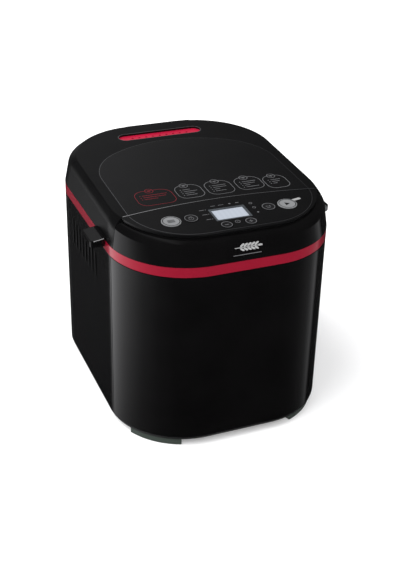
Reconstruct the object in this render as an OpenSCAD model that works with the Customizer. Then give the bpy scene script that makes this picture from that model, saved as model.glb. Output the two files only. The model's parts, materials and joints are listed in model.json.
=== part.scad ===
// Bread machine: a drafted lid and a fixed control panel over a deep black body with a red band.
// Millimetres. +Z is up and the control panel faces -Y. The origin is on the floor, under the middle of the body.

/* [Body] */
// Width of the body across its sides, without the lid tabs
body_w = 260; // [240:1:312]
// Depth of the body from front to back
body_d = 318; // [300:1:382]
// Height of the feet under the base tray
foot_h = 10; // [8:0.5:14]
// Height of the walls between the base tray's underside and the red band
lower_h = 213; // [200:1:256]
// Height of the red band
band_h = 12; // [9:0.5:15]
// Corner radius of the body at the front
front_r = 90; // [70:1:100]
// Corner radius of the body at the back
rear_r = 70; // [56:1:71]
// Wall thickness of the plastic housing
wall = 2.6; // [2.2:0.1:3.2]
// Distance from the front of the body to the joint between the front panel and the rear shell
side_seam = 78; // [65:1:94]

/* [Top] */
// Distance from the front of the body to the middle of the lid's front edge
lid_seam = 85.5; // [80:0.5:100]
// Radius of the curved joint between lid and control panel
seam_r = 640; // [540:10:770]
// Height of the top over the red band at that joint
top_h = 35; // [32:0.5:42]
// Slope of the lid's top towards the front, in degrees
lid_slope = 2.1; // [1:0.1:2.5]
// Slope of the control panel towards the front, in degrees
panel_slope = 3.6; // [2:0.1:4.3]
// How far the top's edge stands in from the body at the sides and back
top_inset = 8; // [6:0.5:10]
// How far the top's edge stands in from the body at the front
top_front_inset = 13; // [10:0.5:16]
// Gap around the closed lid
lid_gap = 0.6; // [0.5:0.05:0.8]
// Length of the tabs that the lid is lifted by
tab_len = 33; // [27:1:40]
// How far the tabs stand out from the body
tab_out = 17; // [14:0.5:20]
// Height of the tabs
tab_h = 8; // [6:0.5:9]
// Width of the slot that the steam leaves by
vent_w = 108; // [90:1:120]
// Depth of that slot from front to back
vent_d = 18; // [15:0.5:20]

/* [Hinge] */
// Distance from the back of the body to the hinge axis
hinge_in = 11; // [10.5:0.5:13]
// Radius of the hinge pins
hinge_pin_r = 2.5; // [2:0.1:3]
// Distance of each hinge from the middle
hinge_x = 64; // [54:1:66]
// Width of the hinge arm on the lid
arm_w = 10; // [8:0.5:12]

/* [Buttons] */
// Radius of the menu button and the start button
big_button_r = 11; // [9:0.5:12.5]
// Radius of the weight button and the crust button
mid_button_r = 8.2; // [7:0.1:9.5]
// Radius of the minus button and the plus button
small_button_r = 6.8; // [6:0.1:8]
// How far a button travels
button_travel = 0.7; // [0.5:0.1:1]
// Clearance around a button
button_gap = 0.3; // [0.2:0.05:0.4]
// Thickness of the control panel
panel_t = 3; // [2.5:0.1:3.4]
// Width of the display window
lcd_w = 43; // [36:1:46]
// Depth of the display window from front to back
lcd_d = 27; // [23:1:29]

/* [Oven] */
// Inside width of the oven chamber
oven_w = 196; // [175:1:206]
// Inside depth of the oven chamber from front to back
oven_d = 180; // [165:1:190]
// Corner radius of the oven chamber
oven_r = 30; // [25:1:40]
// Height of the oven floor over the base tray
oven_floor = 42; // [40:1:48]
// Thickness of the oven chamber's sheet
oven_t = 1; // [0.8:0.1:1.5]

/* [Bread pan] */
// Outside width of the bread pan
pan_w = 152; // [130:1:158]
// Outside depth of the bread pan from front to back
pan_d = 136; // [114:1:142]
// Height of the bread pan
pan_h = 118; // [100:1:126]
// Corner radius of the bread pan
pan_r = 24; // [20:1:30]
// Wall thickness of the bread pan
pan_t = 1.4; // [1.2:0.1:2]
// Distance from the handle's pivot to its cross bar
handle_r = 50; // [42:1:53]
// Radius of the handle's wire
wire_r = 2.2; // [1.8:0.1:2.5]
// Radius of the ring that the pan stands on
skirt_r = 32; // [28:1:36]

/* [Drive] */
// Radius of the drive shaft and of the pan's spindle
shaft_r = 4; // [3.5:0.1:4.8]
// Running clearance of the shafts in their bushes
run_gap = 0.05; // [0.03:0.01:0.08]
// Working radius of the large pulley
drive_pulley_r = 50; // [42:1:60]
// Working radius of the motor's pulley
motor_pulley_r = 10; // [8:0.5:12]
// Radius of the motor's case
motor_r = 36; // [30:1:38]
// Height of the motor's case
motor_h = 70; // [60:1:84]
// Sideways place of the motor
motor_x = 60; // [50:1:62]
// Length of the paddle's blade
blade_len = 44; // [36:1:50]

/* [Hidden] */
$fn = 96;

slice = 0.02;                 // thickness of a flat layer inside a hull
hull_fn = 32;                 // segments of the round corners inside a hull
half_w = body_w / 2;
half_d = body_d / 2;
base_z = foot_h;
band_z = base_z + lower_h;
band_top = band_z + band_h;
inner_w = half_w - wall;
inner_d = half_d - wall;
side_seam_y = -half_d + side_seam;
rear_seam_y = half_d - rear_r;          // where the side panels end and the rear shell begins
crease_y = -half_d + lid_seam;          // where the lid's top and the control panel meet
crease_z = band_top + top_h;
rim = 0.6;                              // ledge of the fascia that the control panel rests on
joint_gap = 0.2;                        // hairline between neighbouring mouldings
shoulder_drop = 5;                      // the fascia's shoulder under the front edge of the panel
shoulder_in = 6;
shoulder_forward = 2.5;
crown_in = 2.6;                         // the sides swell outwards: how far they stand in near the top
crown_drop = 9;

hinge_y = half_d - hinge_in;
hinge_up = hinge_in - 0.5;              // height of the hinge axis over the red band
hinge_z = band_top + hinge_up;
boss_w = 7;                             // width of one hinge boss of the deck
boss_r = 5;
arm_r = 4.4;
arm_side_gap = 0.4;
hinge_run = 0.06;
hinge_clear = 0.6;                      // between the band and the lid's rear edge as it swings past
rear_lean = 1.4;                        // how far the drafted rear wall stands in at the height of its edge
rear_edge = hinge_z - sqrt(pow(hinge_up - hinge_clear, 2) - pow(hinge_in - rear_lean, 2));

tray_t = 3;
deck_t = 4;
deck_z = band_top - 6;                  // underside of the deck
oven_y = crease_y + 13.5 + oven_d / 2;  // middle of the oven chamber, the pan and the drive
oven_z = base_z + oven_floor;
oven_flange = 6;
chassis_t = 2;
chassis_z = oven_z - 10;
standoff_r = 5;
belt_t = 2.5;
belt_w = 9;
belt_gap = 0.3;
pulley_h = 14;
pulley_z = chassis_z - 4 - pulley_h;
motor_y = -half_d + 55;
motor_shaft_r = 3;
motor_z = chassis_z + chassis_t + 7;
motor_cap = 4;
housing_r = 15.5;                        // housing of the drive's bearings
housing_top = oven_z + 6;
bush_r = 8;
bush_h = 9;

pan_floor = oven_z + 22;                // underside of the bread pan
pan_rim = pan_floor + pan_h;
pivot_up = 5;                           // the handle's pivot over the rim
lug_t = 2;
pivot_z = pan_rim + pivot_up;
coupling_z = housing_top + 1;
coupling_r = 14;
bush_top = pan_floor + 6.5;
spindle_top = bush_top + 22;
flat_in = 1;                            // depth of the flat on the spindle
paddle_z = bush_top + 0.6;
paddle_r = 9;
paddle_fit = 0.06;
pan_bush_r = 9;
spindle_low = coupling_z + 4.5;
handle_bend = 12;

element_r = 3.2;
element_z = oven_z + 14;
element_in = 9;                         // from the oven wall to the middle of the element's tube
element_bend = 24;
terminal_x = 14;
element_bush_r = 6;
probe_z = oven_z + 90;
probe_r = 4;

board_x = -62;                          // power electronics, on the chassis at the front left
board_y = -half_d + 62;
board_z = chassis_z + chassis_t + 8;

liner_z = crease_z - wall - 5.7;         // underside of the lid's inner plate
liner_t = 1.5;
liner_w = oven_w / 2 + 14;
liner_y0 = oven_y - oven_d / 2 - 3;
liner_y1 = oven_y + oven_d / 2 + 14;
liner_low = deck_z + deck_t + 4.5;

inlay_t = 0.8;
liner_boss_x = oven_w / 2 - 3;
inlay_w = 109;
inlay_rear = 97;
inlay_rear_r = 138;
inlay_corner_r = 76;
vent_y = half_d - 41;                   // middle of the steam slot

slot_count = 8;                         // vent of each side panel
slot_pitch = 13;
slot_w = 6;
slot_h = 32;
slot_z = band_z - 54;
slot_y = side_seam_y + 56;

menu_x = 69;
weight_x = 46;
small_x = 14.2;
mid_v = -34;                            // distance of the main row from the lid joint
small_v = -58;
switch_w = 6;
board_t = 1.6;
board_down = 12;                        // underside of the control board below the panel's face
display_down = 6;
switch_h = 2.9;
stem_low = board_down - board_t - switch_h - button_travel - 0.1;

gland_x = -48;
gland_z = base_z + 26;
gland_r = 8;
cord_r = 3.75;
screw_r = 1.8;
post_x = 96;
post_front = -half_d + 104;
post_rear = half_d - 52;

// ---- shared outlines ----

// Rounded outline in plan: half width, front and rear limits, front and rear corner radius
module plan(hw, yf, yr, rf, rr) {
  for (s = [-1, 1]) {
    translate([s * (hw - rf), yf + rf]) circle(rf);
    translate([s * (hw - rr), yr - rr]) circle(rr);
  }
  polygon([
    [-hw + rf, yf], [hw - rf, yf], [hw, yf + rf], [hw, yr - rr],
    [hw - rr, yr], [-hw + rr, yr], [-hw, yr - rr], [-hw, yf + rf]
  ]);
}

module body_plan(inset = 0) {
  plan(half_w - inset, -half_d + inset, half_d - inset, front_r - inset, rear_r - inset);
}

module top_plan(inset = 0) {
  r = front_r;
  plan(half_w - top_inset - inset, -half_d + top_front_inset + inset, half_d - top_inset - inset,
       r - inset, r - inset);
}

module body_prism(z0, z1, inset = 0) {
  translate([0, 0, z0]) linear_extrude(z1 - z0) body_plan(inset);
}

module ring_prism(z0, z1, inset, thick) {
  difference() {
    body_prism(z0, z1, inset);
    body_prism(z0 - 1, z1 + 1, inset + thick);
  }
}

module centred_box(w, d, y, z0, z1) {
  translate([-w / 2, y - d / 2, z0]) cube([w, d, z1 - z0]);
}

module rounded_box(w, d, r, y, z0, z1) {
  translate([0, y, z0]) linear_extrude(z1 - z0) plan(w / 2, -d / 2, d / 2, r, r);
}

// Places children in the plane of the lid's top, or of the control panel: Y runs up the slope
module on_lid() {
  translate([0, crease_y, crease_z]) rotate([lid_slope, 0, 0]) children();
}

module on_panel() {
  translate([0, crease_y, crease_z]) rotate([panel_slope, 0, 0]) children();
}

// Everything in front of the curved joint between lid and control panel
module before_seam(back = 0) {
  translate([0, crease_y - seam_r, 0]) cylinder(h = 2 * crease_z, r = seam_r - back, $fn = 360);
}

// A ring round the swollen sides, in the plane of the lid or of the panel
module crown_plan(inset) {
  plan(half_w - crown_in - inset, -half_d + shoulder_in + inset, half_d - top_inset - inset, front_r, front_r,
       $fn = hull_fn);
}

// The drafted form of the lid, down to a height over the band
module lid_form(inset, low) {
  hull() {
    translate([0, 0, low]) linear_extrude(slice) body_plan(inset, $fn = hull_fn);
    on_lid() translate([0, -crease_y - shoulder_forward, -crown_drop - inset]) linear_extrude(slice) crown_plan(inset);
    on_lid() translate([0, -crease_y, -inset - slice]) linear_extrude(slice) top_plan(inset, $fn = hull_fn);
  }
}

// The form of the fascia, with its shoulder under the front edge of the control panel
module fascia_form(inset, low, down) {
  hull() {
    translate([0, 0, low]) linear_extrude(slice) body_plan(inset, $fn = hull_fn);
    on_panel() translate([0, -crease_y - shoulder_forward, -shoulder_drop - down]) linear_extrude(slice)
      crown_plan(inset);
    on_panel() translate([0, -crease_y, -down - slice]) linear_extrude(slice) top_plan(inset, $fn = hull_fn);
  }
}

// ---- base ----

module base_tray() color("#1b1b1c") {
  difference() {
    union() {
      body_prism(base_z, base_z + tray_t, 1);
      ring_prism(base_z + tray_t - 0.01, base_z + tray_t + 8, wall + joint_gap, 2);
      for (x = [-post_x, post_x], y = [post_front, post_rear])
        translate([x, y, base_z + tray_t - 0.01]) cylinder(h = chassis_z - base_z - tray_t + 0.01, r = 6);
    }
    for (x = [-post_x, post_x], y = [post_front, post_rear])
      translate([x, y, chassis_z - 12]) cylinder(h = 13, r = screw_r);
    for (i = [-3:3])
      translate([i * 16, oven_y, base_z - 1]) translate([-2.5, -35, 0]) cube([5, 70, tray_t + 2]);
  }
}

// Feet follow the corners of the body, a little inside its outline
module foot(side, front) {
  r = front ? front_r : rear_r;
  cx = side * (half_w - r);
  cy = front ? -half_d + r : half_d - r;
  from = front ? 206 : 112;
  arc = 44;
  color("#3a3d3a")
    translate([cx, cy, 0]) mirror([side > 0 ? 1 : 0, 0, 0]) rotate([0, 0, from]) rotate_extrude(angle = arc)
      translate([r - 20, 0]) square([16, foot_h]);
}

module foot_front_left() foot(-1, true);
module foot_front_right() foot(1, true);
module foot_rear_left() foot(-1, false);
module foot_rear_right() foot(1, false);

module cord_gland() color("#202020") {
  translate([gland_x, half_d - 14, gland_z]) rotate([-90, 0, 0]) difference() {
    union() {
      cylinder(h = 14, r = gland_r);
      cylinder(h = 14 - wall - joint_gap, r = gland_r + 3);
    }
    translate([0, 0, -1]) cylinder(h = 16, r = cord_r);
  }
}

// ---- walls ----

module walls() ring_prism(base_z + tray_t + joint_gap, band_z - joint_gap, 0, wall);

module rear_shell() color("#101011") {
  difference() {
    walls();
    translate([-body_w, -body_d, 0]) cube([2 * body_w, body_d + rear_seam_y + joint_gap, 2 * crease_z]);
    translate([gland_x, half_d, gland_z]) rotate([90, 0, 0]) cylinder(h = 4 * wall, r = gland_r, center = true);
  }
}

// A side wall with its row of vent slots
module side_panel(side) color("#101011") {
  difference() {
    intersection() {
      walls();
      translate([side > 0 ? 0 : -body_w, side_seam_y + joint_gap, 0])
        cube([body_w, rear_seam_y - side_seam_y - 2 * joint_gap, 2 * crease_z]);
    }
    for (i = [0:slot_count - 1])
      translate([-body_w, slot_y + i * slot_pitch - slot_w / 2, slot_z]) cube([2 * body_w, slot_w, slot_h]);
  }
}

module side_panel_left() side_panel(-1);
module side_panel_right() side_panel(1);

module front_panel() color("#0a0a0b") {
  intersection() {
    walls();
    translate([-body_w, -body_d, 0]) cube([2 * body_w, body_d + side_seam_y - joint_gap, 2 * crease_z]);
  }
}

module red_band() color("#a01430") ring_prism(band_z, band_top, 0, wall);

module front_fascia() color("#0c0c0d") {
  difference() {
    intersection() {
      fascia_form(0, band_top + slice, panel_t + joint_gap);
      before_seam(0);
    }
    intersection() {
      fascia_form(wall, band_top - 1, panel_t + joint_gap + wall);
      before_seam(wall);
    }
    intersection() {
      on_panel() translate([0, -crease_y, -4 * panel_t]) linear_extrude(6 * panel_t) top_plan(wall + rim);
      before_seam(wall);
    }
  }
}

// ---- control panel ----

module button_holes() {
  for (b = [[-menu_x, mid_v, big_button_r], [menu_x, mid_v, big_button_r],
            [-weight_x, mid_v, mid_button_r], [weight_x, mid_v, mid_button_r],
            [-small_x, small_v, small_button_r], [small_x, small_v, small_button_r]])
    translate([b[0], b[1], -3 * panel_t]) cylinder(h = 6 * panel_t, r = b[2] + button_gap);
}

module board_posts(h, r) {
  for (x = [-78, 78])
    translate([x, -17, -h]) cylinder(h = h, r = r);
  for (x = [-50, 50])
    translate([x, -53, -h]) cylinder(h = h, r = r);
}

module control_panel() color("#18181a") intersection() {
  on_panel() difference() {
    union() {
      translate([0, -crease_y, -panel_t]) linear_extrude(panel_t) top_plan();
      translate([0, 0, -panel_t]) board_posts(board_down - board_t - panel_t, 3.2);
    }
    button_holes();
    translate([-lcd_w / 2, mid_v - lcd_d / 2, -2 * panel_t]) cube([lcd_w, lcd_d, 4 * panel_t]);
  }
  before_seam(0);
}

module display_window() color("#9aa0a8") on_panel()
  translate([-lcd_w / 2 + joint_gap, mid_v - lcd_d / 2 + joint_gap, -panel_t - joint_gap])
    cube([lcd_w - 2 * joint_gap, lcd_d - 2 * joint_gap, panel_t - 0.3]);

module display_module() color("#556270") on_panel()
  translate([-lcd_w / 2 - 2, mid_v - lcd_d / 2 - 2, -display_down])
    cube([lcd_w + 4, lcd_d + 4, display_down - panel_t - joint_gap]);

module control_board() color("#1f5c34") on_panel() translate([0, 0, -board_down]) difference() {
  linear_extrude(board_t)
    polygon([[-84, -11], [84, -11], [84, -36], [62, -58], [30, -58], [30, -66], [-30, -66], [-30, -58],
             [-62, -58], [-84, -36]]);
  translate([0, 0, 5]) board_posts(10, 1.2);
}

module button_switches() color("#b8b8b8") on_panel()
  for (b = [[-menu_x, mid_v], [menu_x, mid_v], [-weight_x, mid_v], [weight_x, mid_v],
            [-small_x, small_v], [small_x, small_v]])
    translate([b[0], b[1], -board_down + board_t]) {
      translate([-switch_w / 2, -switch_w / 2, 0]) cube([switch_w, switch_w, switch_h - 0.9]);
      cylinder(h = switch_h, r = 1.6);
    }

// A push button: a cap in the panel, a collar that keeps it in, and a stem to its switch
module push_button(x, v, r, c) color(c) on_panel() translate([x, v, 0]) {
  translate([0, 0, -panel_t]) cylinder(h = panel_t + 0.6, r = r);
  translate([0, 0, -panel_t - 1.4]) cylinder(h = 1.2, r = r + 1.2);
  translate([0, 0, -panel_t - 0.25]) cylinder(h = 0.3, r = r - 0.6);
  translate([0, 0, -stem_low]) cylinder(h = stem_low - panel_t, r = 2);
}

module button_menu() push_button(-menu_x, mid_v, big_button_r, "#b9bbbe");
module button_start() push_button(menu_x, mid_v, big_button_r, "#b9bbbe");
module button_weight() push_button(-weight_x, mid_v, mid_button_r, "#2a2a2c");
module button_crust() push_button(weight_x, mid_v, mid_button_r, "#2a2a2c");
module button_minus() push_button(-small_x, small_v, small_button_r, "#2a2a2c");
module button_plus() push_button(small_x, small_v, small_button_r, "#2a2a2c");

// ---- deck and hinge ----

module hinge_axis_rod(r, x0, x1) {
  translate([x0, hinge_y, hinge_z]) rotate([0, 90, 0]) cylinder(h = x1 - x0, r = r);
}

module deck() color("#141415") {
  boss_out = arm_w / 2 + arm_side_gap + boss_w;
  difference() {
    union() {
      body_prism(deck_z, deck_z + deck_t, wall + joint_gap);
      translate([-hinge_x - boss_out, hinge_y - boss_r - 3.5, deck_z + deck_t - 0.01])
        cube([2 * (hinge_x + boss_out), 2.5, hinge_up]);
      for (s = [-1, 1]) {
        hinge_axis_rod(boss_r, s * hinge_x - boss_out, s * hinge_x + boss_out);
        translate([s * hinge_x - boss_out, hinge_y - boss_r, deck_z + deck_t - 0.01])
          cube([2 * boss_out, 2 * boss_r, hinge_z - deck_z - deck_t]);
      }
    }
    for (s = [-1, 1]) {
      hinge_axis_rod(hinge_pin_r, s * hinge_x - boss_out - 1, s * hinge_x + boss_out + 1);
      translate([s * hinge_x - arm_w / 2 - arm_side_gap, hinge_y - boss_r - 4, deck_z + deck_t])
        cube([arm_w + 2 * arm_side_gap, 2 * boss_r + 8, 30]);
    }
    rounded_box(oven_w, oven_d, oven_r, oven_y, deck_z - 1, deck_z + deck_t + 1);
    intersection() {
      rounded_box(body_w - 80, 56, 20, -half_d + 44, deck_z - 1, deck_z + deck_t + 1);
      before_seam(wall + 4);
    }
  }
}

module hinge_pins() color("#b0b0b0")
  for (s = [-1, 1])
    hinge_axis_rod(hinge_pin_r, s * hinge_x - arm_w / 2 - arm_side_gap - boss_w,
                   s * hinge_x + arm_w / 2 + arm_side_gap + boss_w);

// ---- oven ----

module oven_chamber() color("#8d8f90") {
  difference() {
    union() {
      rounded_box(oven_w + 2 * oven_t, oven_d + 2 * oven_t, oven_r + oven_t, oven_y, oven_z, deck_z);
      rounded_box(oven_w + 2 * oven_flange, oven_d + 2 * oven_flange, oven_r + oven_flange, oven_y,
                  deck_z - oven_t, deck_z);
    }
    rounded_box(oven_w, oven_d, oven_r, oven_y, oven_z + oven_t, deck_z + 1);
    translate([0, oven_y, oven_z - 1]) cylinder(h = 5, r = housing_r + 0.3);
    for (s = [-1, 1])
      translate([s * terminal_x, oven_y - oven_d / 2, element_z]) rotate([90, 0, 0])
        cylinder(h = 20, r = element_bush_r, center = true);
    translate([-oven_w / 2, oven_y, probe_z]) rotate([0, 90, 0]) cylinder(h = 20, r = probe_r, center = true);
  }
}

// One tube that runs around the pan, with two tails out through the front wall of the oven
module heating_element() color("#4b4b4d") {
  hw = oven_w / 2 - element_in;
  hd = oven_d / 2 - element_in;
  side = 2 * (hd - element_bend);
  back = 2 * (hw - element_bend);
  translate([0, oven_y, element_z]) {
    for (s = [-1, 1]) {
      translate([s * hw, -side / 2, 0]) rotate([-90, 0, 0]) cylinder(h = side, r = element_r);
      for (t = [-1, 1])
        translate([s * (hw - element_bend), t * (hd - element_bend), 0])
          rotate([0, 0, t > 0 ? (s > 0 ? 0 : 90) : (s > 0 ? 270 : 180)])
            rotate_extrude(angle = 90) translate([element_bend, 0]) circle(element_r);
      translate([s > 0 ? terminal_x : -hw + element_bend, -hd, 0]) rotate([0, 90, 0])
        cylinder(h = hw - element_bend - terminal_x, r = element_r);
      translate([s * terminal_x, -hd, 0]) sphere(element_r);
      translate([s * terminal_x, -hd, 0]) rotate([90, 0, 0]) cylinder(h = element_in + 12, r = element_r);
    }
    translate([-back / 2, hd, 0]) rotate([0, 90, 0]) cylinder(h = back, r = element_r);
  }
}

module element_bushes() color("#d8d2c4")
  for (s = [-1, 1])
    translate([s * terminal_x, oven_y - oven_d / 2 + 2, element_z]) rotate([90, 0, 0]) difference() {
      union() {
        cylinder(h = 8, r = element_bush_r);
        translate([0, 0, 2 + oven_t + 0.1]) cylinder(h = 3, r = element_bush_r + 2);
      }
      translate([0, 0, -1]) cylinder(h = 10, r = element_r);
    }

module temperature_probe() color("#c0c0c0")
  translate([-oven_w / 2 + 9, oven_y, probe_z]) rotate([0, -90, 0]) {
    cylinder(h = 20, r = probe_r);
    translate([0, 0, 9 + oven_t + 0.1]) cylinder(h = 2, r = probe_r + 5);
  }

module thermal_fuse() color("#e6e0d0")
  translate([oven_w / 2 + oven_t + 3.1, oven_y - 15, oven_z + 40]) rotate([-90, 0, 0]) {
    cylinder(h = 24, r = 3);
    translate([0, 0, -6]) cylinder(h = 36, r = 0.8);
  }

// Leaf springs that hold the ring of the pan on the oven floor
module pan_clips() color("#c9c9c9")
  for (s = [-1, 1])
    translate([0, oven_y, oven_z + oven_t]) mirror([s < 0 ? 1 : 0, 0, 0]) {
      translate([skirt_r + 1, -9, 0]) cube([14, 18, 0.8]);
      translate([skirt_r + 1, -9, 0]) cube([0.8, 18, 12]);
      translate([skirt_r + 1, -9, 11.2]) cube([5, 18, 0.8]);
    }

// ---- chassis and drive ----

module chassis_plate() color("#9a9c9e") {
  difference() {
    translate([0, 0, chassis_z]) linear_extrude(chassis_t)
      plan(post_x + 12, -half_d + 22, post_rear + 12, 68, 16);
    translate([0, oven_y, chassis_z - 1]) cylinder(h = 4, r = housing_r);
    translate([motor_x, motor_y, chassis_z - 1]) cylinder(h = 4, r = motor_pulley_r + 2);
    for (x = [-post_x, post_x], y = [post_front, post_rear])
      translate([x, y, chassis_z - 1]) cylinder(h = 4, r = screw_r + 0.2);
  }
}

module oven_standoffs() color("#b5b5b5")
  for (x = [-60, 60], y = [oven_y - 55, oven_y + 55])
    translate([x, y, chassis_z + chassis_t]) cylinder(h = oven_z - chassis_z - chassis_t, r = standoff_r);

module bearing_housing() color("#a5a7a8")
  translate([0, oven_y, 0]) difference() {
    union() {
      translate([0, 0, pulley_z + pulley_h + 0.8]) cylinder(h = housing_top - pulley_z - pulley_h - 0.8, r = housing_r);
      translate([0, 0, chassis_z + chassis_t]) cylinder(h = 3, r = housing_r + 9);
    }
    translate([0, 0, housing_top - bush_h]) cylinder(h = bush_h + 1, r = bush_r);
    translate([0, 0, pulley_z]) cylinder(h = pulley_h + 0.8 + bush_h, r = bush_r);
    translate([0, 0, pulley_z]) cylinder(h = housing_top, r = shaft_r + 1);
  }

module shaft_bushes() color("#b08d57")
  for (z = [housing_top - bush_h, pulley_z + pulley_h + 0.8])
    translate([0, oven_y, z]) difference() {
      cylinder(h = bush_h, r = bush_r);
      translate([0, 0, -1]) cylinder(h = bush_h + 2, r = shaft_r + run_gap);
    }

module drive_shaft() color("#d0d0d0")
  translate([0, oven_y, pulley_z - 3]) cylinder(h = coupling_z + 3 - pulley_z + 3, r = shaft_r);

module pulley(r, bore, h) {
  rotate_extrude() polygon([
    [bore, 0], [r + 2, 0], [r + 2, 1.4], [r, 2], [r, h - 2], [r + 2, h - 1.4], [r + 2, h], [bore, h]
  ]);
}

module drive_pulley() color("#2d2d2f")
  translate([0, oven_y, pulley_z]) difference() {
    pulley(drive_pulley_r, shaft_r, pulley_h);
    for (a = [0:60:300])
      rotate([0, 0, a]) translate([drive_pulley_r * 0.56, 0, -1]) cylinder(h = pulley_h + 2, r = 8);
  }

module motor_pulley() color("#2d2d2f")
  translate([motor_x, motor_y, pulley_z]) pulley(motor_pulley_r, motor_shaft_r, pulley_h);

module motor_stator() color("#7e8184")
  translate([motor_x, motor_y, motor_z]) difference() {
    union() {
      cylinder(h = motor_h, r = motor_r);
      translate([-motor_r, -motor_r + 8, 0]) cube([2 * motor_r, 2 * motor_r - 16, 3]);
      cylinder(h = motor_h + motor_cap, r = 9);
    }
    translate([0, 0, -1]) cylinder(h = motor_h + 1, r = motor_shaft_r + run_gap);
  }

module motor_grommets() color("#222222")
  for (x = [-1, 1], y = [-1, 1])
    translate([motor_x + x * (motor_r - 8), motor_y + y * (motor_r - 16), chassis_z + chassis_t])
      cylinder(h = motor_z - chassis_z - chassis_t, r = 5);

module motor_rotor() color("#d0d0d0")
  translate([motor_x, motor_y, pulley_z - 3]) cylinder(h = motor_z + motor_h - 6 - pulley_z, r = motor_shaft_r);

module belt_form(extra, z0, z1) {
  hull() {
    translate([0, oven_y, z0]) cylinder(h = z1 - z0, r = drive_pulley_r + extra);
    translate([motor_x, motor_y, z0]) cylinder(h = z1 - z0, r = motor_pulley_r + extra);
  }
}

module drive_belt() color("#1a1a1a") {
  low = pulley_z + (pulley_h - belt_w) / 2;
  difference() {
    belt_form(belt_gap + belt_t, low, low + belt_w);
    belt_form(belt_gap, low - 1, low + belt_w + 1);
  }
}

module power_board() color("#2a6b3c") translate([board_x, board_y, 0]) {
  translate([-36, -28, board_z]) cube([72, 56, board_t]);
  for (x = [-30, 30], y = [-22, 22])
    translate([x, y, chassis_z + chassis_t]) cylinder(h = board_z - chassis_z - chassis_t, r = 3);
}

module transformer() color("#8a6d3b") translate([board_x - 28, board_y - 20, board_z + board_t]) {
  cube([36, 30, 26]);
  translate([6, -4, 4]) cube([24, 38, 18]);
}

module motor_capacitor() color("#c4c4c8")
  translate([board_x + 22, board_y, board_z + board_t]) cylinder(h = 42, r = 11);

module tray_screws() color("#909294")
  for (x = [-post_x, post_x], y = [post_front, post_rear])
    translate([x, y, chassis_z - 10]) {
      cylinder(h = 10 + chassis_t, r = screw_r);
      translate([0, 0, 10 + chassis_t]) cylinder(h = 2.2, r = 3.6);
    }

module chassis_screws() color("#909294")
  for (a = [45:90:315])
    translate([(housing_r + 5) * cos(a), oven_y + (housing_r + 5) * sin(a), chassis_z + chassis_t + 3])
      cylinder(h = 2, r = 2.8);

module drive_coupling() color("#b9bbbd")
  translate([0, oven_y, coupling_z]) difference() {
    union() {
      cylinder(h = 3, r = coupling_r);
      for (s = [-1, 1])
        translate([s * 11 - 2.5, -4, 0]) cube([5, 8, 9]);
    }
    translate([0, 0, -1]) cylinder(h = 5, r = shaft_r);
  }

// ---- bread pan ----

module bread_pan() color("#5a5b5d") {
  difference() {
    union() {
      rounded_box(pan_w, pan_d, pan_r, oven_y, pan_floor, pan_rim);
      rounded_box(pan_w + 5, pan_d + 5, pan_r + 2.5, oven_y, pan_rim - 2, pan_rim);
      for (s = [-1, 1])
        translate([s > 0 ? pan_w / 2 - 0.01 : -pan_w / 2 - lug_t - 2.5 + 0.01, oven_y - 8, pan_rim - 22])
          cube([lug_t + 2.5, 16, 22 + pivot_up]);
      for (s = [-1, 1])
        translate([s * (pan_w / 2 + (lug_t + 2.5) / 2), oven_y, pivot_z]) rotate([0, 90, 0])
          cylinder(h = lug_t + 2.48, r = 8, center = true);
    }
    rounded_box(pan_w - 2 * pan_t, pan_d - 2 * pan_t, pan_r - pan_t, oven_y, pan_floor + pan_t, pan_rim + 30);
    translate([0, oven_y, pan_floor - 1]) cylinder(h = 5, r = pan_bush_r);
    translate([-pan_w, oven_y, pivot_z]) rotate([0, 90, 0]) cylinder(h = 2 * pan_w, r = wire_r + hinge_run);
  }
}

module pan_bush() color("#b08d57")
  translate([0, oven_y, 0]) difference() {
    union() {
      translate([0, 0, pan_floor - 4]) cylinder(h = bush_top - pan_floor + 4, r = pan_bush_r);
      translate([0, 0, pan_floor - 4]) cylinder(h = 4, r = pan_bush_r + 4);
      translate([0, 0, pan_floor + pan_t]) cylinder(h = 1.5, r = pan_bush_r + 4);
    }
    translate([0, 0, pan_floor - 5]) cylinder(h = 20, r = shaft_r + run_gap);
  }

module pan_skirt() color("#a8aaab")
  translate([0, oven_y, oven_z + oven_t + 0.3]) difference() {
    cylinder(h = pan_floor - oven_z - oven_t - 0.3, r = skirt_r);
    translate([0, 0, -1]) cylinder(h = 50, r = skirt_r - 2);
  }

module pan_spindle() color("#d0d0d0")
  translate([0, oven_y, 0]) difference() {
    translate([0, 0, spindle_low]) cylinder(h = spindle_top - spindle_low, r = shaft_r);
    translate([shaft_r - flat_in, -shaft_r, bush_top + 0.4]) cube([2 * shaft_r, 2 * shaft_r, 40]);
  }

module pan_coupling() color("#b9bbbd")
  translate([0, oven_y, spindle_low]) difference() {
    union() {
      cylinder(h = pan_floor - 4.6 - spindle_low, r = 6.5);
      translate([-3, -coupling_r + 1, 0]) cube([6, 2 * coupling_r - 2, 5]);
    }
    translate([0, 0, -1]) cylinder(h = 30, r = shaft_r);
  }

// The paddle: a hub that slips over the flat on the spindle, and one tall swept blade
module kneading_paddle() color("#3c3d40")
  translate([0, oven_y, 0]) difference() {
    union() {
      translate([0, 0, paddle_z]) cylinder(h = spindle_top + 3 - paddle_z, r = paddle_r);
      translate([0, 3, paddle_z]) rotate([90, 0, 0]) linear_extrude(5)
        polygon([[0, 0], [blade_len, 0], [blade_len, 8], [blade_len - 14, 24], [0, 24]]);
    }
    difference() {
      translate([0, 0, paddle_z - 1]) cylinder(h = spindle_top + 1.5 - paddle_z, r = shaft_r + paddle_fit);
      translate([shaft_r - flat_in + paddle_fit, -shaft_r, paddle_z - 2]) cube([9, 2 * shaft_r, 60]);
    }
  }

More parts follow.
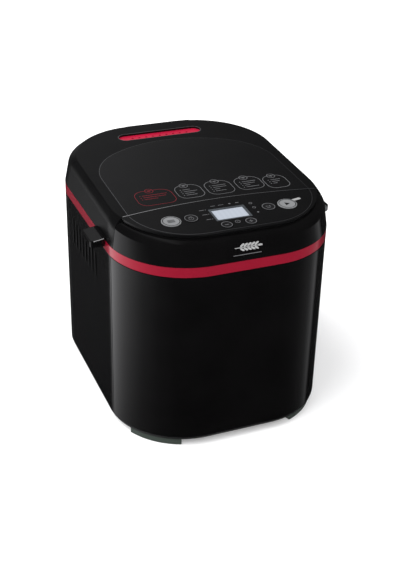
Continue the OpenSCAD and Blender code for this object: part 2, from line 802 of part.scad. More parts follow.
module pan_handle() color("#c4c6c8") {
  reach = pan_w / 2 + lug_t + 2.5 + 2.9;
  translate([0, oven_y, pivot_z]) {
    for (s = [-1, 1]) {
      translate([s > 0 ? pan_w / 2 - 3 : -reach, 0, 0]) rotate([0, 90, 0])
        cylinder(h = reach - pan_w / 2 + 3, r = wire_r);
      translate([s * reach, 0, 0]) sphere(wire_r);
      translate([s * reach, -handle_r + handle_bend, 0]) rotate([-90, 0, 0]) cylinder(h = handle_r - handle_bend, r = wire_r);
      translate([s * (reach - handle_bend), -handle_r + handle_bend, 0]) rotate([0, 0, s > 0 ? 270 : 180])
        rotate_extrude(angle = 90) translate([handle_bend, 0]) circle(wire_r);
    }
    translate([-reach + handle_bend, -handle_r, 0]) rotate([0, 90, 0]) cylinder(h = 2 * (reach - handle_bend), r = wire_r);
  }
}

// ---- lid ----

module inlay_outline(inset = 0) {
  // wide at the front joint, closing at the rear in one flat arc and two corner arcs
  w = inlay_w - inset;
  rc = inlay_corner_r - inset;
  rr = inlay_rear_r - inset;
  cy = inlay_rear - inlay_rear_r;
  ky = cy + sqrt(pow(rr - rc, 2) - pow(w - rc, 2));
  ux = (w - rc) / (rr - rc);
  uy = (ky - cy) / (rr - rc);
  for (s = [-1, 1]) translate([s * (w - rc), ky]) circle(rc);
  intersection() {
    translate([0, cy]) circle(rr);
    polygon([[0, cy], [rr * 2 * ux, cy + rr * 2 * uy], [-rr * 2 * ux, cy + rr * 2 * uy]]);
  }
  polygon([[-w, crease_y - 40], [w, crease_y - 40], [w, ky], [-w, ky]]);
}

// A tab that hangs over the band, its top sloping down from the lid's side
module tab(side) {
  low = band_top - tab_h + 1;
  translate([0, crease_y + 8.5 + tab_len, 0]) rotate([90, 0, 0]) linear_extrude(tab_len)
    mirror([side > 0 ? 0 : 1, 0, 0]) polygon([
      [half_w - wall, band_top + lid_gap], [half_w + 0.4, band_top + lid_gap], [half_w + 0.4, low],
      [half_w + tab_out, low], [half_w + tab_out, band_top + 1], [half_w - wall, band_top + 3.6]
    ]);
}

module vent_slot(extra, z0, z1) {
  r = vent_d / 2 + extra;
  on_lid() translate([0, vent_y - crease_y, z0]) linear_extrude(z1 - z0) {
    for (s = [-1, 1]) translate([s * (vent_w - vent_d) / 2, 0]) circle(r);
    square([vent_w - vent_d, 2 * r], center = true);
  }
}

// The hinge arms and everything else that hangs inside the lid's form
module lid_inside() {
  for (s = [-1, 1]) {
    translate([s * hinge_x - arm_w / 2, hinge_y - 3, hinge_z]) cube([arm_w, hinge_in + 3, crease_z]);
    for (y = [liner_y0 + 16, liner_y1 - 30])
      translate([s * liner_boss_x, y, liner_z + liner_t]) cylinder(h = crease_z, r = 4);
  }
}

module lid_shell() color("#161617") {
  low = band_top + lid_gap;
  notch = arm_w / 2 + arm_side_gap + boss_w + 1;
  difference() {
    union() {
      difference() {
        lid_form(0, low);
        difference() {
          lid_form(wall, low - 1);
          before_seam(-lid_gap - wall);
        }
        translate([-half_w, hinge_y, low - 1]) cube([body_w, body_d, rear_edge - low + 1]);
        for (s = [-1, 1])
          translate([s * hinge_x - notch, hinge_y - boss_r - 1, low - 1])
            cube([2 * notch, body_d, hinge_z + boss_r + 1 - low + 1]);
      }
      intersection() {
        lid_form(0.2, low);
        lid_inside();
      }
      for (s = [-1, 1])
        hinge_axis_rod(arm_r, s * hinge_x - arm_w / 2, s * hinge_x + arm_w / 2);
      tab(-1);
      tab(1);
    }
    before_seam(-lid_gap);
    vent_slot(0, -2 * wall, 2);
    on_lid() translate([0, -crease_y, -inlay_t]) linear_extrude(inlay_t + 1) inlay_outline();
    for (s = [-1, 1]) {
      hinge_axis_rod(hinge_pin_r + hinge_run, s * hinge_x - arm_w, s * hinge_x + arm_w);
      for (y = [liner_y0 + 16, liner_y1 - 30])
        translate([s * liner_boss_x, y, liner_z]) cylinder(h = liner_t + 3, r = screw_r);
    }
  }
}

module lid_inlay() color("#1c1c1e") difference() {
  on_lid() translate([0, -crease_y, -inlay_t]) linear_extrude(inlay_t) inlay_outline();
  before_seam(-lid_gap);
}

// The inner cover over the oven, with a skirt that hangs round the opening
module lid_liner() color("#a9abad") {
  w = 2 * liner_w;
  d = liner_y1 - liner_y0;
  y = (liner_y0 + liner_y1) / 2;
  r = oven_r + 14;
  difference() {
    rounded_box(w, d, r, y, liner_low, liner_z + liner_t);
    rounded_box(w - 2 * liner_t, d - 2 * liner_t, r - liner_t, y, liner_low - 1, liner_z);
    for (s = [-1, 1], v = [liner_y0 + 16, liner_y1 - 30])
      translate([s * liner_boss_x, v, liner_z - 1]) cylinder(h = 5, r = screw_r);
    for (i = [-4:4])
      translate([i * 11, liner_y1 - 22, liner_z - 1]) cylinder(h = 5, r = 2);
  }
}

module lid_screws() color("#b4b4b4")
  for (s = [-1, 1], y = [liner_y0 + 16, liner_y1 - 30])
    translate([s * liner_boss_x, y, liner_z]) {
      cylinder(h = liner_t + 3, r = screw_r);
      translate([0, 0, -1.8]) cylinder(h = 1.8, r = 3.5);
    }

// The red insert at the bottom of the steam slot
module steam_vent() color("#b01c3c") difference() {
  vent_slot(1.6, -wall - 1.6, -wall);
  on_lid() for (i = [-4:4])
    translate([i * 9, vent_y - crease_y, -2 * wall]) cylinder(h = 5, r = 1.6);
}

base_tray();
foot_front_left();
foot_front_right();
foot_rear_left();
foot_rear_right();
rear_shell();
side_panel_left();
side_panel_right();
front_panel();
red_band();
front_fascia();
control_panel();
display_window();
display_module();
control_board();
button_switches();
deck();
hinge_pins();
oven_chamber();
heating_element();
element_bushes();
temperature_probe();
thermal_fuse();
pan_clips();
chassis_plate();
oven_standoffs();
bearing_housing();
shaft_bushes();
motor_stator();
motor_grommets();
drive_belt();
power_board();
transformer();
motor_capacitor();
cord_gland();
tray_screws();
chassis_screws();
drive_shaft();
drive_pulley();
drive_coupling();
motor_rotor();
motor_pulley();
bread_pan();
pan_skirt();
pan_bush();
pan_spindle();
pan_coupling();
kneading_paddle();
pan_handle();
lid_shell();
lid_inlay();
lid_liner();
steam_vent();
lid_screws();
button_menu();
button_weight();
button_minus();
button_plus();
button_crust();
button_start();
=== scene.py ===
import json
import math

import bmesh
import bpy
from mathutils import Matrix, Vector


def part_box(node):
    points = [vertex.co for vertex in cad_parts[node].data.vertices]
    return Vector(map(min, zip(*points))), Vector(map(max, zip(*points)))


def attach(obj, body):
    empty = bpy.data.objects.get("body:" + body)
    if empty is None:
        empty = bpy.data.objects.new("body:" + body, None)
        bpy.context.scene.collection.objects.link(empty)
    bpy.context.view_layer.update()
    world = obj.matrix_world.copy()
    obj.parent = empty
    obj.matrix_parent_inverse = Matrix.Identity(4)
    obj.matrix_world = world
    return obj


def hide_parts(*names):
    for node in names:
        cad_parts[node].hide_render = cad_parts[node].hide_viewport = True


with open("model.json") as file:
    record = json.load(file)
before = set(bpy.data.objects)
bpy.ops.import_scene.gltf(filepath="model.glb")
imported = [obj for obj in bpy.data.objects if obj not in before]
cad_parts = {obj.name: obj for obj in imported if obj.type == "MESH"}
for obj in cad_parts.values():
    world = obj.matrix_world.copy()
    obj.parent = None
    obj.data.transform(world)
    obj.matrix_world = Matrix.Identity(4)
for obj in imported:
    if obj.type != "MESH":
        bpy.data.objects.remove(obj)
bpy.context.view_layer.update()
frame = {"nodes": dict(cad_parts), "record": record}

# Lengths are millimetres while a shape is made, and metres once it is a piece.
MM = 0.001


def extent(node, axis):
    """A node's lowest and highest place along an axis, in millimetres."""
    low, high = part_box(node)
    return round(low[axis] / MM, 2), round(high[axis] / MM, 2)


HALF_W, HALF_D = extent("red_band", 0)[1], extent("red_band", 1)[1]     # the body in plan
FRONT_R, REAR_R = 90.0, 70.0
BASE_Z = extent("foot_front_left", 2)[1]
BAND_Z, BAND_TOP = extent("red_band", 2)
WALL = 2.6
SIDE_SEAM, REAR_SEAM = -HALF_D + 78, HALF_D - REAR_R    # where the side panels begin and end
CREASE_Y, CREASE_Z = -HALF_D + 85.5, BAND_TOP + 35      # the joint between lid and control panel
SEAM_R, LID_GAP = 640.0, 0.6
LID_SLOPE, PANEL_SLOPE = 2.1, 3.6
TOP_HALF_W, TOP_FRONT, TOP_REAR = HALF_W - 8, -HALF_D + 13, HALF_D - 8
HINGE_Y, HINGE_Z, HINGE_X = HALF_D - 11, BAND_TOP + 10.5, 64.0
REAR_EDGE = 243.1                       # lower edge of the lid behind the hinge
PANEL_T, JOINT = 3.0, 0.2
CROWN_IN, CROWN_DROP = 2.6, 9.0         # the sides swell outwards between the band and the top
CROWN_FRONT, CROWN_REAR_R = 3.5, 76     # the crown's front edge and its rear corners
LID_CROWN_REAR, FASCIA_CROWN_REAR = 152.5, 148.5
SHOULDER_DROP = 5                       # how far the fascia's shoulder lies under the panel's underside
MAIN_ROW, LOW_ROW = -34.0, -58.0        # rows of buttons, in front of the crease
TAB_LEN, TAB_OUT, TAB_REAR = 33, 17, -32
TAB_LOW, TAB_TOP = BAND_TOP - 7, BAND_TOP + 1
GLAND_X, GLAND_Z = -48, 36
WIDE, FAR = 200, 300                    # past the sides, and past the ends and the top
ROUND = 28                              # steps in the corner of an outline


# ---- camera ----

def stand_camera():
    """Stands at the front left and looks down on the machine."""
    target = Vector((0.0151, 0.0101, 0.1122))
    turn, rise, roll, away = math.radians(-22.54), math.radians(29.26), math.radians(1.45), 1.339
    back = Vector((math.sin(turn) * math.cos(rise), -math.cos(turn) * math.cos(rise), math.sin(rise)))
    right = Vector((math.cos(turn), math.sin(turn), 0))
    up = back.cross(right)
    across = right * math.cos(roll) + up * math.sin(roll)
    upward = up * math.cos(roll) - right * math.sin(roll)
    camera = bpy.data.objects.new("camera", bpy.data.cameras.new("camera"))
    bpy.context.collection.objects.link(camera)
    camera.data.lens, camera.data.sensor_width = 67.26, 36
    stand = Matrix((across, upward, back)).transposed().to_4x4()
    stand.translation = target + back * away
    camera.matrix_world = stand
    bpy.context.scene.camera = camera


stand_camera()


# ---- finishes ----

def new_finish(name, colour, rough, metal=0.0, coat=0.0, specular=0.5):
    made = bpy.data.materials.new(name)
    made.use_nodes = True
    shader = made.node_tree.nodes["Principled BSDF"]
    shader.inputs["Base Color"].default_value = (*colour, 1)
    shader.inputs["Roughness"].default_value = rough
    shader.inputs["Metallic"].default_value = metal
    shader.inputs["Coat Weight"].default_value = coat
    shader.inputs["Coat Roughness"].default_value = 0.04
    shader.inputs["Specular IOR Level"].default_value = specular
    return made, shader


def place(made, stretch=(1, 1, 1)):
    """Object coordinates, stretched to give a pattern its direction."""
    nodes, links = made.node_tree.nodes, made.node_tree.links
    where = nodes.new("ShaderNodeTexCoord")
    mapping = nodes.new("ShaderNodeMapping")
    mapping.inputs["Scale"].default_value = stretch
    links.new(where.outputs["Object"], mapping.inputs["Vector"])
    return mapping.outputs["Vector"]


def cloud(made, where, size, detail=3.0, rough=0.5):
    """Noise whose blotches are about size millimetres across."""
    node = made.node_tree.nodes.new("ShaderNodeTexNoise")
    node.inputs["Scale"].default_value = 1000 / size
    node.inputs["Detail"].default_value = detail
    node.inputs["Roughness"].default_value = rough
    made.node_tree.links.new(where, node.inputs["Vector"])
    return node.outputs["Fac"]


def between(made, fac, low, high, start=0.3, end=0.7):
    node = made.node_tree.nodes.new("ShaderNodeMapRange")
    for name, value in (("From Min", start), ("From Max", end), ("To Min", low), ("To Max", high)):
        node.inputs[name].default_value = value
    made.node_tree.links.new(fac, node.inputs["Value"])
    return node.outputs["Result"]


def tinted(made, shader, fac, *stops):
    """Colours the surface by a ramp along fac."""
    ramp = made.node_tree.nodes.new("ShaderNodeValToRGB")
    elements = ramp.color_ramp.elements
    while len(elements) < len(stops):
        elements.new(0.5)
    for element, (spot, colour) in zip(elements, stops):
        element.position, element.color = spot, (*colour, 1)
    made.node_tree.links.new(fac, ramp.inputs["Fac"])
    made.node_tree.links.new(ramp.outputs["Color"], shader.inputs["Base Color"])


def embossed(made, shader, height, strength, depth):
    """Raises the surface by depth millimetres."""
    bump = made.node_tree.nodes.new("ShaderNodeBump")
    bump.inputs["Strength"].default_value = strength
    bump.inputs["Distance"].default_value = depth * MM
    made.node_tree.links.new(height, bump.inputs["Height"])
    made.node_tree.links.new(bump.outputs["Normal"], shader.inputs["Normal"])


def moulded(name, colour, rough, grain=0.5, depth=0.02, strength=0.4, shade=1.35, smear=0.06,
            metal=0.0, coat=0.0, specular=0.5, stretch=(1, 1, 1)):
    """Plastic, rubber or metal: a fine grain, faint blotches of tone, and handling marks in the gloss."""
    made, shader = new_finish(name, colour, rough, metal, coat, specular)
    where = place(made, stretch)
    blotch = cloud(made, where, 45, 4.0)
    tinted(made, shader, blotch, (0.3, [c / shade for c in colour]), (0.7, [c * shade for c in colour]))
    made.node_tree.links.new(
        between(made, cloud(made, where, 18, 5.0, 0.6), max(rough - smear, 0.02), rough + smear),
        shader.inputs["Roughness"])
    embossed(made, shader, cloud(made, where, grain, 2.0), strength, depth)
    return made


def flaked(name, colour, light, rough):
    """Metallic paint under a clear coat."""
    made, shader = new_finish(name, colour, rough, 0.45, 0.6)
    where = place(made)
    tinted(made, shader, cloud(made, where, 0.6, 1.0), (0.35, colour), (0.62, light))
    embossed(made, shader, cloud(made, where, 0.5, 1.0), 0.25, 0.01)
    return made


def speckled(name, colour, dot, rough, size):
    """Stone-look non-stick coating."""
    made, shader = new_finish(name, colour, rough, 0.1, 0.15)
    where = place(made)
    cells = made.node_tree.nodes.new("ShaderNodeTexVoronoi")
    cells.inputs["Scale"].default_value = 1000 / size
    made.node_tree.links.new(where, cells.inputs["Vector"])
    tinted(made, shader, cells.outputs["Distance"], (0.08, dot), (0.16, colour),
           (1.0, [c * 0.8 for c in colour]))
    embossed(made, shader, cloud(made, where, 0.9, 3.0), 0.35, 0.04)
    return made


def ruled(name, colour, line, rough, pitch, axis="Z", metal=0.0, depth=0.15):
    """Fine parallel lines, as on stacked laminations or a wound coil."""
    made, shader = new_finish(name, colour, rough, metal)
    where = place(made)
    wave = made.node_tree.nodes.new("ShaderNodeTexWave")
    wave.bands_direction = axis
    wave.inputs["Scale"].default_value = 1000 / pitch / 20
    wave.inputs["Distortion"].default_value = 0.3
    made.node_tree.links.new(where, wave.inputs["Vector"])
    tinted(made, shader, wave.outputs["Fac"], (0.2, line), (0.6, colour))
    embossed(made, shader, wave.outputs["Fac"], 0.5, depth)
    return made


def inked(name, colour, rough=0.4, shade=1.2, metal=0.0):
    """Printed ink, or a fine edge coloured lighter as a painted highlight."""
    return moulded(name, colour, rough, grain=0.3, depth=0.01, strength=0.4, shade=shade, metal=metal)


def painted_fading_highlight(name, left, right):
    """A painted highlight for a fine edge: lighter towards the left of the machine, where the edge would
    catch the light, and darker to the right.
    """
    made, shader = new_finish(name, left, rough=0.3)
    where = place(made)
    parts = made.node_tree.nodes.new("ShaderNodeSeparateXYZ")
    made.node_tree.links.new(where, parts.inputs["Vector"])
    share = between(made, parts.outputs["X"], 0.0, 1.0, -HALF_W * MM, HALF_W * MM)
    tinted(made, shader, share, (0.0, left), (0.45, [(a + b) / 3 for a, b in zip(left, right)]), (1.0, right))
    embossed(made, shader, cloud(made, where, 0.6, 2.0), 0.2, 0.01)
    return made


ALONG = (0.02, 1, 1)                    # draws a pattern out along X, as brushing does
FINISHES = {
    "gloss_black": moulded("gloss_black", (0.0022, 0.0021, 0.0022), rough=0.07, grain=30, depth=0.012,
                           strength=0.2, shade=1.2, smear=0.03),
    "shell_black": moulded("shell_black", (0.0026, 0.0026, 0.0028), rough=0.13, grain=0.7, depth=0.008,
                           strength=0.25, shade=1.2, smear=0.015, specular=0.45),
    "satin_black": moulded("satin_black", (0.0034, 0.0034, 0.0036), rough=0.3, grain=0.45, depth=0.012,
                           strength=0.3, shade=1.15, smear=0.02, specular=0.2),
    "inlay_black": moulded("inlay_black", (0.0028, 0.0028, 0.003), rough=0.22, grain=0.6, depth=0.006,
                           strength=0.2, shade=1.15, smear=0.02),
    "deck_black": moulded("deck_black", (0.012, 0.012, 0.0125), rough=0.5, grain=0.6, depth=0.04,
                          strength=0.5),
    "band_red": flaked("band_red", (0.3, 0.0035, 0.022), light=(0.42, 0.008, 0.034), rough=0.3),
    "vent_red": moulded("vent_red", (0.4, 0.008, 0.035), rough=0.28, grain=0.6, depth=0.01, strength=0.3,
                        shade=1.12, coat=0.3),
    "button_silver": moulded("button_silver", (0.42, 0.43, 0.44), rough=0.32, grain=0.4, depth=0.01,
                             strength=0.3, shade=1.06, metal=0.6),
    "button_black": moulded("button_black", (0.008, 0.008, 0.0085), rough=0.22, grain=0.5, depth=0.01,
                            strength=0.3, shade=1.2),
    "display": ruled("display", (0.34, 0.37, 0.42), line=(0.325, 0.355, 0.403), rough=0.16, pitch=0.9,
                     axis="X", depth=0.01),
    "board_green": moulded("board_green", (0.02, 0.12, 0.05), rough=0.35, grain=1.6, depth=0.06, strength=0.6,
                           shade=1.4, coat=0.4),
    "steel": moulded("steel", (0.5, 0.51, 0.52), rough=0.28, grain=0.5, depth=0.02, strength=0.3, shade=1.1,
                     metal=0.45, stretch=ALONG),
    "oven_sheet": moulded("oven_sheet", (0.34, 0.35, 0.35), rough=0.36, grain=5.0, depth=0.05, strength=0.35,
                          shade=1.2, smear=0.08, metal=0.4),
    "pan_coating": speckled("pan_coating", (0.05, 0.05, 0.053), dot=(0.2, 0.2, 0.21), rough=0.34, size=1.7),
    "liner_metal": moulded("liner_metal", (0.42, 0.43, 0.44), rough=0.3, grain=0.5, depth=0.02, strength=0.3,
                           shade=1.08, metal=0.4, stretch=ALONG),
    "bronze": moulded("bronze", (0.42, 0.24, 0.08), rough=0.4, grain=0.3, depth=0.02, strength=0.6,
                      shade=1.2, metal=0.5),
    "ceramic": moulded("ceramic", (0.68, 0.62, 0.52), rough=0.7, grain=0.6, depth=0.05, strength=0.6,
                       shade=1.08),
    "rubber": moulded("rubber", (0.012, 0.012, 0.012), rough=0.62, grain=0.5, depth=0.05, strength=0.6,
                      shade=1.2, specular=0.35),
    "foot_grey": moulded("foot_grey", (0.036, 0.045, 0.039), rough=0.22, grain=0.6, depth=0.03, strength=0.4,
                         shade=1.15),
    "motor_metal": ruled("motor_metal", (0.3, 0.31, 0.32), line=(0.16, 0.165, 0.17), rough=0.42, pitch=1.4,
                         metal=0.8),
    "copper_wound": ruled("copper_wound", (0.42, 0.17, 0.05), line=(0.2, 0.07, 0.02), rough=0.35, pitch=1.1,
                          metal=0.7),
    "element_black": moulded("element_black", (0.05, 0.047, 0.045), rough=0.55, grain=1.2, depth=0.06,
                             strength=0.6, shade=1.5, metal=0.5),
    "capacitor": moulded("capacitor", (0.3, 0.31, 0.33), rough=0.3, grain=0.5, depth=0.01, strength=0.2,
                         shade=1.06, metal=0.4),
}
print_grey = inked("print_grey", (0.1, 0.1, 0.105))
print_silver = inked("print_silver", (0.42, 0.42, 0.42), rough=0.35, shade=1.15, metal=0.3)
print_red = inked("print_red", (0.12, 0.008, 0.014))
# painted highlight colour for the rim round the slot
edge_painted_highlight = inked("edge_painted_highlight", (0.05, 0.05, 0.053), rough=0.25)
# painted highlight colours, lighter on the left: for the crease, and for the fine lines round the panels
crease_painted_highlight = painted_fading_highlight("crease_painted_highlight", (0.2, 0.2, 0.205), (0.02, 0.02, 0.022))
line_painted_highlight = painted_fading_highlight("line_painted_highlight", (0.05, 0.05, 0.053), (0.014, 0.014, 0.015))
# painted glint colours for the tabs: a lighter one for the left tab and a dimmer one for the right
tab_painted_highlight = inked("tab_painted_highlight", (0.26, 0.26, 0.265), rough=0.3, shade=1.15)
tab_painted_dim_highlight = inked("tab_painted_dim_highlight", (0.11, 0.115, 0.115), rough=0.3, shade=1.15)
bezel_grey = inked("bezel_grey", (0.045, 0.05, 0.056), rough=0.25)

SLOT = {part["node"]: part["material_slot"] for part in frame["record"]["subparts"]}
for node, thing in frame["nodes"].items():
    thing.data.materials.clear()
    thing.data.materials.append(FINISHES[SLOT[node]])


# ---- making shapes ----

def holder(bm, name="shape"):
    mesh = bpy.data.meshes.new(name)
    bm.to_mesh(mesh)
    bm.free()
    thing = bpy.data.objects.new(name, mesh)
    bpy.context.collection.objects.link(thing)
    return thing


def drop(thing):
    mesh = thing.data
    bpy.data.objects.remove(thing)
    bpy.data.meshes.remove(mesh)


def carve(bm, tool, how="DIFFERENCE"):
    """One closed shape cut from another, joined to it, or what both have in common."""
    base, other = holder(bm), holder(tool)
    step = base.modifiers.new("carve", "BOOLEAN")
    step.operation, step.solver, step.object = how, "EXACT", other
    made = bmesh.new()
    made.from_object(base, bpy.context.evaluated_depsgraph_get())
    drop(base)
    drop(other)
    bmesh.ops.remove_doubles(made, verts=made.verts, dist=0.002)
    return made


def joined(*shapes):
    """Separate shapes in one mesh."""
    made = bmesh.new()
    for shape in shapes:
        mesh = bpy.data.meshes.new("part")
        shape.to_mesh(mesh)
        shape.free()
        made.from_mesh(mesh)
        bpy.data.meshes.remove(mesh)
    return made


def put(bm, matrix):
    bmesh.ops.transform(bm, matrix=matrix, verts=bm.verts)
    return bm


def moved(bm, x=0.0, y=0.0, z=0.0):
    return put(bm, Matrix.Translation((x, y, z)))


def outline(half_w, front, rear, front_r, rear_r=None, steps=ROUND):
    """A flat rounded outline, filled."""
    rear_r = front_r if rear_r is None else rear_r
    bm = bmesh.new()
    bmesh.ops.create_grid(bm, x_segments=1, y_segments=1, size=1)
    for v in bm.verts:
        v.co = (half_w if v.co.x > 0 else -half_w, rear if v.co.y > 0 else front, 0)
    for side, radius in ((front, front_r), (rear, rear_r)):
        corners = [v for v in bm.verts
                   if abs(v.co.y - side) < 0.001 and abs(abs(v.co.x) - half_w) < 0.001]
        bmesh.ops.bevel(bm, geom=corners, offset=radius, offset_type="OFFSET", affect="VERTICES",
                        segments=steps, profile=0.5, material=-1, clamp_overlap=False)
    return bm


def drawn(start, *moves):
    """A filled outline: each move is a point to go to, or a centre and an angle to turn through."""
    bm = bmesh.new()
    tip = bm.verts.new((*start, 0))
    for move in moves:
        if len(move) == 2:
            tip = bmesh.ops.extrude_vert_indiv(bm, verts=[tip])["verts"][0]
            tip.co = (*move, 0)
        else:
            centre_x, centre_y, turn = move
            made = bmesh.ops.spin(bm, geom=[tip], cent=(centre_x, centre_y, 0), axis=(0, 0, 1),
                                  dvec=(0, 0, 0), angle=math.radians(turn),
                                  steps=max(3, round(abs(turn) / 3)), use_merge=False, use_duplicate=False)
            tip = made["geom_last"][0]
    bmesh.ops.remove_doubles(bm, verts=bm.verts, dist=0.01)
    bmesh.ops.contextual_create(bm, geom=bm.edges[:])
    bmesh.ops.recalc_face_normals(bm, faces=bm.faces)
    return bm


def raised(bm, low, high):
    """A flat outline made solid between two heights."""
    moved(bm, z=low)
    made = bmesh.ops.extrude_face_region(bm, geom=bm.faces[:], use_keep_orig=True)
    upper = [part for part in made["geom"] if isinstance(part, bmesh.types.BMVert)]
    bmesh.ops.translate(bm, vec=(0, 0, high - low), verts=upper)
    bmesh.ops.recalc_face_normals(bm, faces=bm.faces)
    return bm


def hollow(bm, width):
    """A flat outline turned into a strip along its edge."""
    inner = bm.faces[:]
    bmesh.ops.inset_region(bm, faces=inner, thickness=width, use_even_offset=True, use_boundary=True)
    bmesh.ops.delete(bm, geom=inner, context="FACES")
    return bm


def lofted(*rings):
    """A closed shape through flat outlines with the same number of corners."""
    bm = joined(*rings)
    bm.faces.ensure_lookup_table()
    caps = bm.faces[:]
    edges = [list(face.edges) for face in caps]
    for below, above in zip(edges, edges[1:]):
        bmesh.ops.bridge_loops(bm, edges=below + above)
    bmesh.ops.delete(bm, geom=caps[1:-1], context="FACES_ONLY")
    bmesh.ops.recalc_face_normals(bm, faces=bm.faces)
    return bm


def block(x0, x1, y0, y1, z0, z1):
    bm = bmesh.new()
    bmesh.ops.create_cube(bm, size=1)
    bmesh.ops.scale(bm, vec=(x1 - x0, y1 - y0, z1 - z0), verts=bm.verts)
    return moved(bm, (x0 + x1) / 2, (y0 + y1) / 2, (z0 + z1) / 2)


def rod(radius, length, steps=48):
    """Round, along +Z from the origin."""
    bm = bmesh.new()
    bmesh.ops.create_cone(bm, cap_ends=True, segments=steps, radius1=radius, radius2=radius, depth=length)
    return moved(bm, z=length / 2)


def along_x(bm, x=0.0, y=0.0, z=0.0):
    return put(bm, Matrix.Translation((x, y, z)) @ Matrix.Rotation(math.radians(90), 4, "Y"))


def along_y(bm, x=0.0, y=0.0, z=0.0):
    return put(bm, Matrix.Translation((x, y, z)) @ Matrix.Rotation(math.radians(-90), 4, "X"))


def turned(*profile, steps=64):
    """A shape of revolution about Z from (radius, height) points, closed where they reach the axis."""
    bm = bmesh.new()
    tip = bm.verts.new((profile[0][0], 0, profile[0][1]))
    for radius, height in profile[1:]:
        tip = bmesh.ops.extrude_vert_indiv(bm, verts=[tip])["verts"][0]
        tip.co = (radius, 0, height)
    bmesh.ops.spin(bm, geom=bm.verts[:] + bm.edges[:], cent=(0, 0, 0), axis=(0, 0, 1), dvec=(0, 0, 0),
                   angle=2 * math.pi, steps=steps, use_merge=True, use_duplicate=False)
    bmesh.ops.remove_doubles(bm, verts=bm.verts, dist=0.0005)
    bmesh.ops.recalc_face_normals(bm, faces=bm.faces)
    return bm


def rounded(bm, edges, width, steps):
    bmesh.ops.bevel(bm, geom=edges, offset=width, offset_type="OFFSET", affect="EDGES", segments=steps,
                    profile=0.5, material=-1, clamp_overlap=True)


def soften(bm, width, steps=2, angle=40, where=None):
    """Rounds the sharp edges, or those that a test picks."""
    least = math.radians(angle)
    sharp = [e for e in bm.edges if len(e.link_faces) == 2 and e.calc_face_angle(0) > least
             and (where is None or where(e))]
    rounded(bm, sharp, width, steps)
    return bm


def piece(bm, name, body, finish, slot, *nodes, angle=38):
    """Hands a finished shape over: metres, shading, finish, and the body that it rides on."""
    put(bm, Matrix.Scale(MM, 4))
    thing = holder(bm, name)
    thing.data.shade_smooth()
    thing.data.set_sharp_from_angle(angle=math.radians(angle))
    normals = thing.modifiers.new("even_shading", "WEIGHTED_NORMAL")
    normals.keep_sharp = True
    thing.data.materials.append(finish)
    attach(thing, body)
    if nodes:
        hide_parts(*nodes)


def body_outline(inset=0.0):
    return outline(HALF_W - inset, -HALF_D + inset, HALF_D - inset, FRONT_R - inset, REAR_R - inset)


def top_outline(inset=0.0):
    return outline(TOP_HALF_W - inset, TOP_FRONT + inset, TOP_REAR - inset, FRONT_R - inset)


def tilt(degrees):
    """From the plan's own coordinates to the sloping plane through the crease."""
    return (Matrix.Translation((0, CREASE_Y, CREASE_Z)) @ Matrix.Rotation(math.radians(degrees), 4, "X")
            @ Matrix.Translation((0, -CREASE_Y, 0)))


ON_LID, ON_PANEL = tilt(LID_SLOPE), tilt(PANEL_SLOPE)
LID_UP = (ON_LID.to_3x3() @ Vector((0, 0, 1))).normalized()
PANEL_UP = (ON_PANEL.to_3x3() @ Vector((0, 0, 1))).normalized()
CREASE = Vector((0, CREASE_Y, CREASE_Z))


def lying_in(up, depth=0.0):
    """A test for the edges in a sloping plane, by its depth under the crease."""
    return lambda edge: all(abs((v.co - CREASE).dot(up) + depth) < 0.02 for v in edge.verts)


def drum(back):
    """Everything in front of the curved joint."""
    bm = bmesh.new()
    bmesh.ops.create_cone(bm, cap_ends=True, segments=900, radius1=SEAM_R - back, radius2=SEAM_R - back,
                          depth=600)
    return moved(bm, 0, CREASE_Y - SEAM_R, 200)


def crown_outline(inset, rear):
    """The swollen sides, near the top."""
    return outline(HALF_W - CROWN_IN - inset, -HALF_D + CROWN_FRONT + inset, rear - inset, FRONT_R,
                   CROWN_REAR_R)


def lid_form(inset, low):
    crown = moved(crown_outline(inset, LID_CROWN_REAR), z=-CROWN_DROP - inset)
    return lofted(moved(body_outline(inset), z=low), put(crown, ON_LID),
                  put(moved(top_outline(inset), z=-inset), ON_LID))


def inlay_outline(inset=0.0):
    wide, corner, rear = 109 - inset, 76 - inset, 138 - inset
    centre_y = 97 - 138
    corner_y = centre_y + math.sqrt((rear - corner) ** 2 - (wide - corner) ** 2)
    turn = math.degrees(math.atan2(corner_y - centre_y, wide - corner))
    return drawn((wide, CREASE_Y - 40), (wide, corner_y), (wide - corner, corner_y, turn),
                 (0, centre_y, 180 - 2 * turn), (corner - wide, corner_y, turn), (-wide, CREASE_Y - 40))


def slot_outline(extra=0.0):
    return moved(outline(54 + extra, -9 - extra, 9 + extra, 8.99 + extra, steps=16), y=118)


# ---- lid ----

FILM = (-0.03, 0.05)                    # heights of a printed or inlaid film over its surface
POCKET_HALF_W, POCKET_TOP = 13.4, 251.5  # room round the deck's hinge bosses
ARM_HALF_W, BARREL_R, PIN_BORE_R = 5, 4.4, 2.56
POST_X, POST_Y, POST_Z = 95, (-47, 104), 263.2  # the posts that the liner is screwed to


